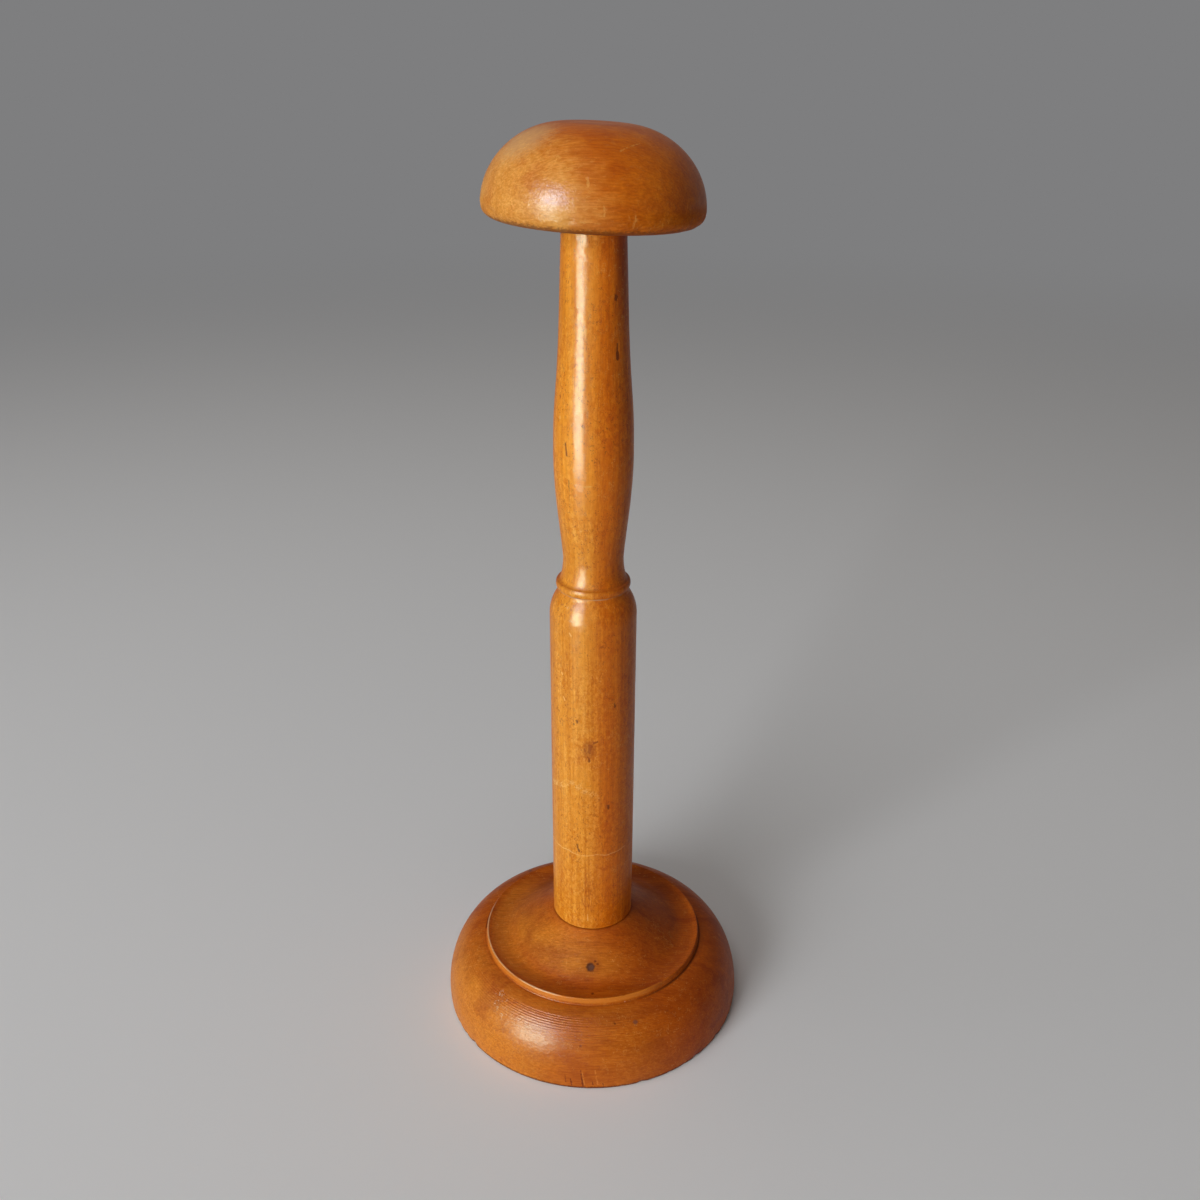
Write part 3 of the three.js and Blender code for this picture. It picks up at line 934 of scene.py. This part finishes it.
def base_colour(p, fibre, polish):
    """Brown orange, with painted light on its lit side, and painted shade: deeper at the right and in
    front.
    """
    figure = p.pattern((0.14, 1, 1), (4, 1, 9), 0.15, 5.0, 0.6, 0.5)
    lines = p.pattern((0.09, 1, 1), (7, 3, 2), 0.45, 4.0, 0.65, 0.3)
    inside = p.ramp(p.radius, 46, 42)
    outside = p.ramp(p.radius, 45.5, 47.5)
    shaded_right_of_roll = p.times(outside, p.ramp(p.x, -52, 0), p.ramp(p.radius, 48, 56, 0.4, 1))
    shaded_front_of_hollow = p.times(inside, p.ramp(p.y, -24, -38), p.ramp(p.x, 8, -20))
    # Painted light: lighter, yellower colour on the lit side
    colour = p.mix(base_lit_side(p, inside), p.tones(figure, BASE_TONES), srgb(216, 134, 38))
    # Painted shade: darker at the right of the hollow and of the roll, and at the front of the hollow
    colour = p.shade(colour, p.times(inside, p.x), 8, 40, UNCHANGED, (0.84, 0.8, 0.7, 1))
    colour = p.shade(colour, shaded_right_of_roll, 0, 1, UNCHANGED, (0.88, 0.78, 0.56, 1))
    colour = p.shade(colour, shaded_front_of_hollow, 0, 1, UNCHANGED, (0.88, 0.84, 0.75, 1))
    colour = p.mix(p.ramp(lines, 0.52, 0.70, 0, 0.35), colour, srgb(150, 62, 4))
    colour = p.mix(p.ramp(polish, 0.5, 0.70, 0, 0.5), colour, srgb(154, 64, 6))
    return p.shade(colour, fibre, 0.3, 0.7, COARSE_DEEPER, COARSE_PALER)


def base_shade_and_grime(p):
    """Mask of painted shade, with some dirt: darker at the step's foot, most on the right, round the
    column's seat and along the bottom edge.
    """
    step_foot = p.times(
        p.band(p.radius, 46.5, 47.0, 0.7),
        p.ramp(p.z, ROLL_TOP_Z - 1, ROLL_TOP_Z - 0.2),
        p.ramp(p.z, ROLL_TOP_Z + 0.1, ROLL_TOP_Z + 0.6, 1, 0),
        p.ramp(p.angle, math.radians(-75), math.radians(-45), 0.2, 1.0),
    )
    seat_line = p.times(p.ramp(p.radius, 17.2, 17.9, 1, 0), p.ramp(p.z, 38, 40))
    ragged_z = p.plus(p.z, p.rough_edge(1.0))
    floor_line = p.times(p.ramp(ragged_z, 0.6, 1.5, 1, 0), p.ramp(p.radius, 58, 60))
    return p.add_up(p.times(step_foot, 0.7), (seat_line, 0.15), (floor_line, 0.75))


def base_lip_light(p, colour):
    """Painted light on the lip: its outside paler at the front left, where light falls on it, and a painted
    highlight along its edge.
    """
    lit_step_face = p.times(
        p.band(p.radius, 45.8, 46.6, 0.4),
        p.ramp(p.z, ROLL_TOP_Z + 0.5, ROLL_TOP_Z + 1.5),
        p.ramp(p.towards(-115), 12, 34),
    )
    glint_front = p.band(p.angle, math.radians(-127), math.radians(-112), 0.12)
    glint_left = p.times(p.ramp(p.towards(-165), 36, 43), 0.6)
    edge = p.times(
        p.band(p.radius, 45.7, 46.1, 0.2),
        p.ramp(p.z, LIP_Z - 0.5, LIP_Z - 0.2),
        p.strongest(glint_front, glint_left),
    )
    # Painted light on the step's face, and a painted highlight along the lip's edge
    colour = p.lay(colour, lit_step_face, 0.6, srgb(222, 134, 42))
    return p.lay(colour, edge, 0.7, srgb(252, 214, 160))


def base_knot(p, colour):
    """Pin knot in the mound, in a redder patch."""
    patch = p.spot((0.6, -30.2, 34.4), 1.8, 3.0, ragged=0.8)
    knot = p.spot((-0.7, -30.8, 34), 1.3, 1.1, ragged=0.7)
    heart = p.spot((-0.4, -31.0, 34), 0.8, 0.7)
    colour = p.lay(colour, patch, 0.45, srgb(146, 58, 8))
    colour = p.lay(colour, knot, 0.85, srgb(66, 32, 20))
    return p.lay(colour, heart, 0.6, srgb(108, 74, 62))


def base_marks(p, colour):
    """Specks, splits, the notch and a bruise. Returns the colour and the mask of the dark ones."""
    specks = [p.spot(at, size, 0.6, ragged=0.8) for at, size in BASE_SPECKS]
    notch = p.spot((-49.0, -38.6, 0.6), 0.9, 0.8, ragged=0.4)
    dark = p.strongest(*specks, p.strokes(EDGE_SPLITS, 0.5), notch)
    bruise = p.spot((17.7, -52.4, 24.9), 0.5, 0.8, ragged=0.5)
    colour = p.lay(colour, p.strokes(SPLIT_SIDES, 0.5), 0.5, srgb(222, 140, 56))
    colour = p.lay(colour, dark, 0.75, srgb(98, 30, 3))
    return p.lay(colour, bruise, 0.6, srgb(92, 66, 58)), dark


def base_scuffs(p):
    """Mask of the pale scuffs on the left of the roll and of a nick under the lip."""
    area = p.strongest(p.spot((-38.3, -40.2, 24.7), 2.6, 2.8), p.spot((-37.2, -44.6, 22), 1.6, 2.2))
    nick = p.spot((13.4, -44.4, 28.4), 0.2, 0.4)
    return p.strongest(p.times(area, p.curls((1, 1, 1), (2, 6, 1), 0.8, 0.05)), p.times(nick, 0.7))


def base_wood():
    p = Paint("base_wood")
    fibre = p.pattern((0.1, 1, 1), (1, 2, 3), 1.7, 3.0, 0.6)
    polish = p.pattern((1, 1, 1), (12, 0, 3), 0.05, 4.0, 0.6, 0.3)
    colour = base_colour(p, fibre, polish)
    colour, relief = old_polish(p, colour, seed=40, grain=(0.8, 1, 1), mottled=0.42, marked=0.55)
    fleck = p.pattern((0.3, 1, 1), (8, 40, 6), 1.3, 2.0, 0.5)
    flecked = p.pattern((1, 1, 1), (8, 0, 33), 0.07, 2.0)
    flecks = p.times(p.ramp(fleck, 0.62, 0.69), p.ramp(flecked, 0.42, 0.62, 0.1, 0.7))
    colour = p.lay(colour, flecks, 0.35, srgb(108, 46, 8))
    shade_and_grime = base_shade_and_grime(p)
    # Painted shade with some dirt, in the corners and along the bottom edge
    colour = p.mix(shade_and_grime, colour, SHADE_AND_DIRT)
    colour = base_lip_light(p, colour)
    colour = base_knot(p, colour)
    colour, dark = base_marks(p, colour)
    scuffs = base_scuffs(p)
    colour = p.lay(colour, scuffs, 0.75, srgb(216, 186, 146))

    roughness = p.add_up(p.ramp(polish, 0.3, 0.7, 0.42, 0.54), (scuffs, 0.2), (shade_and_grime, 0.2))
    turning = p.math("SINE", p.line(p.radius, 5.2, p.times(polish, 14.0)))
    marks = ((flecks, -0.015), (dark, -0.03), (scuffs, 0.02))
    height = p.add_up(relief, (fibre, 0.012), (turning, 0.007), *marks)
    return p.finish(colour, roughness, height, coat=p.ramp(shade_and_grime, 0, 1, 0.25, 0.08), coat_roughness=0.25)


# Pale scratches on the cap: the two ends and the width of each
CAP_SCRATCHES = (
    ((-1.9, -34.6, 346.8), (-1.6, -35.6, 343.4), 0.5),
    ((3.2, -37.3, 338.4), (3.3, -37.8, 335.6), 0.3),
    ((8.2, -26.8, 353.3), (14.2, -21.0, 355.0), 0.1),
    ((-5.0, -29.0, 351.4), (-2.4, -29.4, 351.6), 0.2),
)


def cap_colour(p, lit_side, fibre, polish, blotch):
    figure = p.pattern((0.16, 1, 1), (4, 1, 9), 0.16, 5.0, 0.62, 0.6)
    # Painted light: lighter, yellower colour on the lit side
    colour = p.lay(p.tones(figure, CAP_TONES), lit_side, 0.88, srgb(226, 156, 66))
    colour = p.mix(p.ramp(polish, 0.5, 0.72, 0, 0.35), colour, srgb(186, 84, 5))
    colour = p.shade(colour, fibre, 0.3, 0.7, COARSE_DEEPER, COARSE_PALER)
    return p.shade(colour, blotch, 0.35, 0.65, DEEPER_FIBRE, PALER_FIBRE)


def cap_wear(p, colour, above_rim, lit_side, blotch):
    """A paler, greyer patch high on the left of the dome, and pale wear. Returns the colour and the masks
    of the scratches and the patch.
    """
    stripe = p.pattern((1, 1, 0.25), (3, 3, 30), 1.1, 2.0, 0.6)
    rub = p.pattern((0.4, 0.7, 1), (7, 1, 3), 1.0, 3.0, 0.6)
    greyed = p.spot((-22, -12.5, 357), 4.5, 10.0, ragged=5.0)
    strokes = p.times(p.ramp(stripe, 0.56, 0.78), p.ramp(above_rim, 14, 5), p.ramp(blotch, 0.45, 0.58))
    rubs = p.times(p.ramp(rub, 0.59, 0.66), p.ramp(lit_side, 0.0, 0.7, 0.2, 1.0))
    scratches = p.strokes(CAP_SCRATCHES, 1.0)
    patch = p.spot((-10.2, -36.6, 333.6), 1.8, 3.2, ragged=1.4)
    pale = p.strongest(
        p.times(strokes, 0.35), p.times(rubs, 0.33), p.times(scratches, 0.3), p.times(patch, 0.3)
    )
    colour = p.lay(colour, greyed, 0.5, srgb(212, 174, 120))
    return p.mix(pale, colour, WORN), scratches, patch


def cap_rim_shade(p, colour, above_rim):
    """Painted shade, with some wear: a dark band where the dome turns under, and the underside painted
    darker brown. Returns the colour and the band.
    """
    ragged_z = p.plus(above_rim, p.rough_edge(2.0))
    rim = p.times(p.ramp(ragged_z, 1.0, 2.2, 1, 0), p.ramp(p.radius, 28, 31))
    under = p.times(p.ramp(above_rim, 0.4, 0.1), p.ramp(p.radius, 33, 31))
    # Painted shade: the dark band where the dome turns under, and the darker underside
    colour = p.lay(colour, rim, 0.65, srgb(116, 56, 18))
    return p.lay(colour, under, 0.35, srgb(140, 70, 20)), rim


def cap_wood():
    p = Paint("cap_wood")
    fibre = p.pattern((0.1, 1, 1), (1, 2, 3), 1.7, 3.0, 0.6)
    polish = p.pattern((1, 1, 1), (2, 0, 3), 0.07, 4.0, 0.6, 0.4)
    blotch = p.pattern((0.8, 1, 1), (5, 9, 2), 0.16, 4.0, 0.6, 0.5)
    # Painted light: mask of the side facing the light, its edge made uneven by the blotches
    lit_side = p.ramp(p.plus(p.towards(-141), p.line(blotch, 12.0, -6.0)), 14, 36)
    above_rim = p.plus(p.z, p.line(p.x, math.tan(CAP_LEAN), -CAP_SEAT_Z))
    colour = cap_colour(p, lit_side, fibre, polish, blotch)
    colour, relief = old_polish(p, colour, seed=77, grain=(0.35, 1, 1), mottled=0.36, marked=0.2)
    colour, scratches, patch = cap_wear(p, colour, above_rim, lit_side, blotch)
    colour, rim = cap_rim_shade(p, colour, above_rim)

    handled = p.ramp(p.plus(above_rim, p.rough_edge(1.5)), 5.5, 9.5, 0.8, 0)
    dulled = p.ramp(blotch, 0.52, 0.7, 0, 0.3)
    dull = p.strongest(rim, handled, p.times(patch, 0.9), p.times(scratches, 0.5), dulled)
    roughness = p.add_up(p.ramp(polish, 0.3, 0.7, 0.40, 0.54), (dull, 0.15))
    height = p.add_up(relief, (fibre, 0.02), (blotch, 0.12), (scratches, -0.03))
    return p.finish(colour, roughness, height, coat=p.ramp(dull, 0, 1, 0.36, 0.08), coat_roughness=0.2)


def wedge_wood():
    """Bare wood."""
    p = Paint("wedge_wood")
    grain = p.pattern((1, 1, 0.08), (0, 0, 0), 1.4, 4.0, 0.6)
    height = p.times(grain, 0.05)
    return p.finish(p.tones(grain, WEDGE_TONES), 0.7, height, coat=0.0, coat_roughness=0.3, specular=0.3)


# Pieces

def dress(piece, material, node):
    piece.data.materials.clear()
    piece.data.materials.append(material)
    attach(piece, "root")
    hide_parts(node)


dress(make_base(), base_wood(), "base")
dress(make_column(), column_wood(), "column")
dress(make_cap(), cap_wood(), "cap")
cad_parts["foot_wedge"].material_slots[0].material = wedge_wood()


# Floor, light and camera

FLOOR_RADIUS = 6000
FLOOR_SIDES = 96
FLOOR_COLOUR = (0.86, 0.86, 0.865, 1)
DIM_ROOM = (0.12, 0.12, 0.12, 1)
BACKDROP = srgb(126, 126, 127)
AMBIENT_COLOUR = (1.0, 0.86, 0.72, 1)
AMBIENT_STRENGTH = 0.09

# Distances over which the floor fades to the dim room, for light, and to the backdrop, for the camera
DIM_SPAN = (250, 900)
BACKDROP_SPAN = (400, 2200)

# Light panels, in metres and watts: name, place that it faces, degrees left of and above the camera's side
# as seen from there, distance, size, power, colour, and whether it is only mirrored
WHITE_LIGHT = (0.98, 1.0, 1.02)
PANE_LIGHT = (0.6, 0.9, 1.25)
PANELS = (
    ("soft_panel", (0, 0, 0.2), 38, 11, 2.4, (1.15, 1.5), 49, WHITE_LIGHT, False),
    ("top_panel", (0, 0, 0.1), 60, 72, 2.5, (1.8, 1.8), 16, WHITE_LIGHT, False),
    ("strip", (0, 0, 0.22), 43, 0, 0.62, (0.24, 0.44), 13.0, (0.78, 1.0, 0.82), True),
    ("pane", (0, 0, 0.59), 43, 0, 0.62, (0.36, 0.28), 3.9, PANE_LIGHT, True),
    ("pane_core", (0, 0, 0.59), 43, 0, 0.62, (0.15, 0.13), 2.6, PANE_LIGHT, True),
)
STRIP_LEAN = 12

# Camera found from the photograph, in metres
CAMERA_PLACE = (0.0026, -0.4196, 0.3838)
CAMERA_TILT = math.radians(24.97)
CAMERA_ROLL = math.radians(0.27)
SENSOR_WIDTH = 36
LENS = 36


def floor_material():
    """Pale near the stand. Further off the room is dim, and shows as the plain backdrop."""
    p = Paint("floor")
    pale = p.add("BsdfDiffuse", FLOOR_COLOUR)
    lit = p.mix_shaders(p.ramp(p.radius, *DIM_SPAN), pale, p.add("BsdfDiffuse", DIM_ROOM))
    seen = p.mix_shaders(p.ramp(p.radius, *BACKDROP_SPAN), pale, p.add("Emission", BACKDROP))
    p.add("OutputMaterial", p.mix_shaders(p.seen_directly(), lit, seen).outputs[0])
    return p.material


def make_floor():
    rim, _ = turned_points([(FLOOR_RADIUS, 0)], FLOOR_SIDES)
    floor = new_piece("floor", rim, [tuple(range(FLOOR_SIDES))])
    floor.data.materials.append(floor_material())


def make_world():
    world = bpy.data.worlds.new("room")
    bpy.context.scene.world = world
    nodes = Nodes(world)
    ambient = nodes.add("Background", AMBIENT_COLOUR, AMBIENT_STRENGTH)
    shown = nodes.add("Background", BACKDROP)
    nodes.add("OutputWorld", nodes.mix_shaders(nodes.seen_directly(), ambient, shown).outputs[0])


def area_light(name, aim, left, up, distance, size, power, colour, mirrored):
    turn, rise = math.radians(left), math.radians(up)
    direction = Vector((-math.sin(turn) * math.cos(rise), -math.cos(turn) * math.cos(rise), math.sin(rise)))
    data = bpy.data.lights.new(name, "AREA")
    data.shape = "RECTANGLE"
    data.size, data.size_y = size
    data.energy = power
    data.color = colour
    lamp = new_object(name, data)
    lamp.location = Vector(aim) + direction * distance
    lamp.rotation_euler = direction.to_track_quat("Z", "Y").to_euler()
    lamp.visible_camera = False
    lamp.visible_diffuse = not mirrored
    lamp.visible_glossy = mirrored
    return lamp


def make_lights():
    """Soft panels light the stand. Column and base mirror the strip, and the cap the panes above it."""
    lamps = {panel[0]: area_light(*panel) for panel in PANELS}
    lamps["strip"].rotation_euler.rotate_axis("Z", math.radians(STRIP_LEAN))


def make_camera():
    data = bpy.data.cameras.new("camera")
    data.sensor_fit = "HORIZONTAL"
    data.sensor_width = SENSOR_WIDTH
    data.lens = LENS
    camera = new_object("camera", data)
    camera.matrix_world = (
        Matrix.Translation(CAMERA_PLACE)
        @ Matrix.Rotation(math.pi / 2 - CAMERA_TILT, 4, "X")
        @ Matrix.Rotation(CAMERA_ROLL, 4, "Z")
    )
    bpy.context.scene.camera = camera


make_floor()
make_world()
make_lights()
make_camera()
bpy.context.scene.view_settings.view_transform = "Standard"
